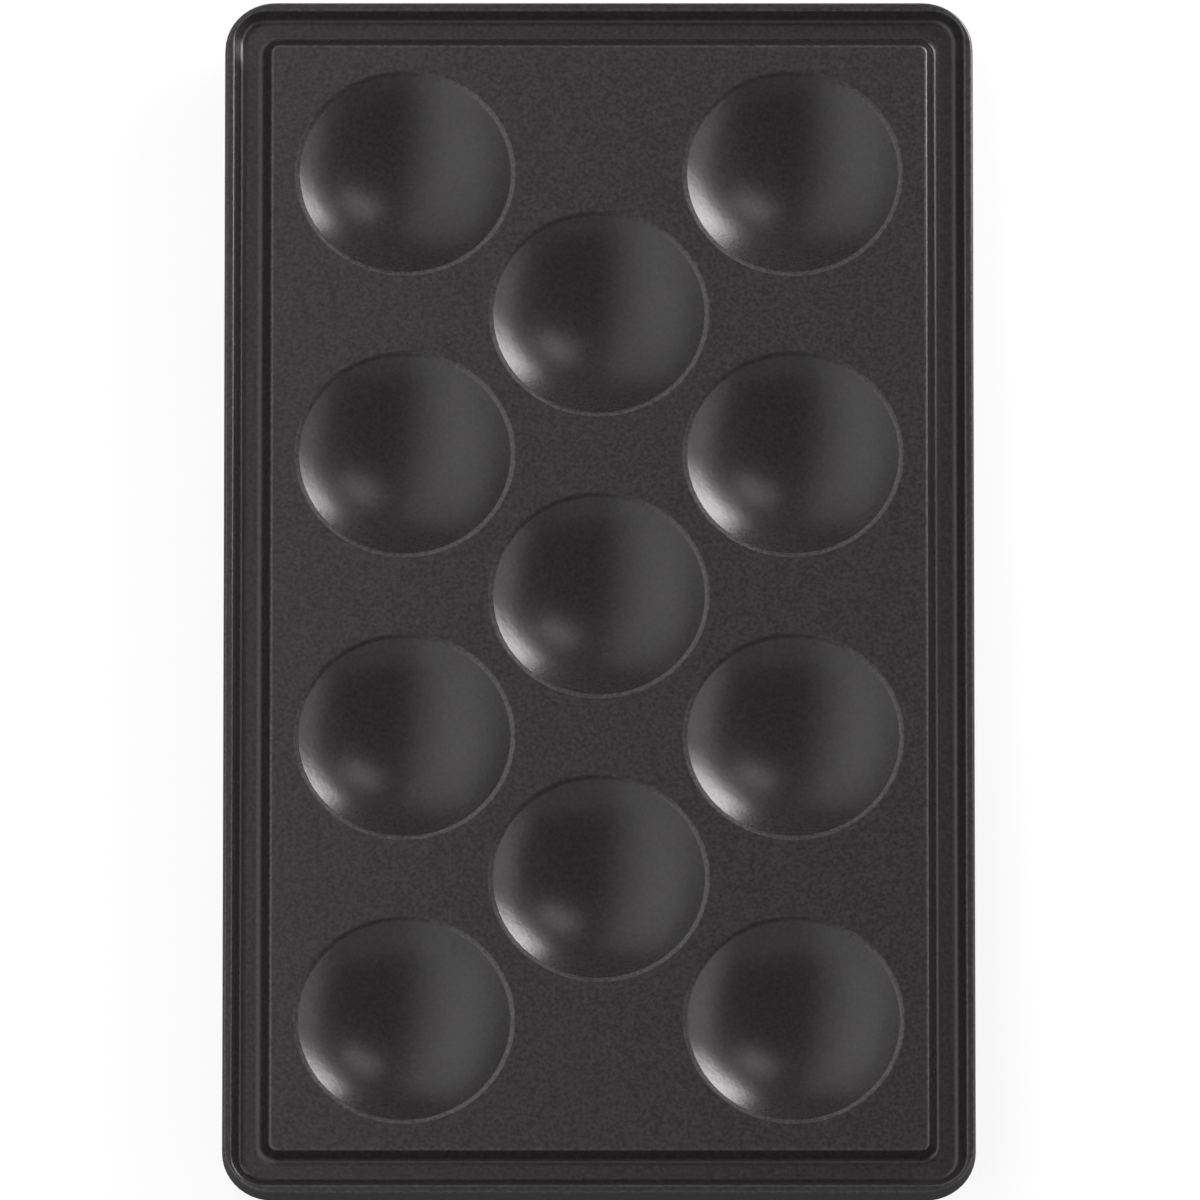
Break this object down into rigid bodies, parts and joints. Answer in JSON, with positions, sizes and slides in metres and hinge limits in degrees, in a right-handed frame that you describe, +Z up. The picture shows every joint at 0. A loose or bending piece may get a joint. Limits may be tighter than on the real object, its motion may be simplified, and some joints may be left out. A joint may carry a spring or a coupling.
{
  "type": "donut ball baking plate",
  "caption": "Removable rectangular cast aluminium baking plate with round spherical bowls in a raised field, a channel and a lip round it, dark non-stick coat above, bare casting below.",
  "frame": {"origin": "centre of the outline, on the plane of the skirt's rim that the plate stands on", "axes": "+X across the plate towards the latch ledge, +Y along its length, +Z up out of the bowls"},
  "size_m": [0.1452, 0.2468, 0.0102],
  "materials": {
    "cast_aluminium": "bare as-cast aluminium, dull, with faint flow marks",
    "nonstick_coat": "satin anthracite fired fluoropolymer coat with a fine grain"
  },
  "bodies": {
    "root": {"plate_casting": "cast_aluminium", "nonstick_coating": "nonstick_coat"}
  },
  "joints": []
}
